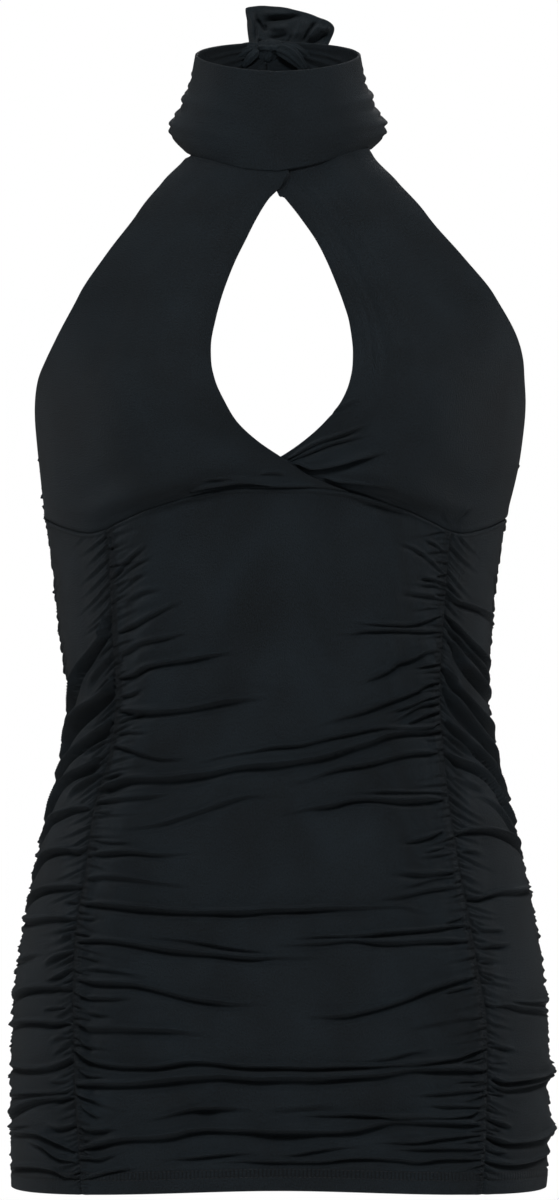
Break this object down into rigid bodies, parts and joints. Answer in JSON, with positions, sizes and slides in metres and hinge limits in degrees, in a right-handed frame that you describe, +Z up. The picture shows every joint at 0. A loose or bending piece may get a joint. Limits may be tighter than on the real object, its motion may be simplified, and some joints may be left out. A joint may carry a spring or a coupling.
{
  "type": "halter neck top",
  "caption": "Worn, hollow halter neck top in black jersey: ruched body, crossed cups with a keyhole, wide neck band knotted at the nape.",
  "frame": {"origin": "middle of the ring of the neck band, where the wearer's neck holds the top up", "axes": "+Z up towards the head, the front of the top faces -Y, +X is to the right seen from the front"},
  "size_m": [0.3297, 0.2408, 0.7271],
  "materials": {
    "jersey": "black fine single jersey, soft matt with a faint sheen",
    "band_jersey": "the same black jersey, doubled"
  },
  "bodies": {
    "root": {"front_panel": "jersey", "side_front_left": "jersey", "side_front_right": "jersey", "back_panel": "jersey", "cup_left": "jersey", "cup_right": "jersey", "collar_band": "band_jersey", "tie_knot": "band_jersey", "tie_end_upper": "band_jersey", "tie_end_lower": "band_jersey"}
  },
  "joints": []
}
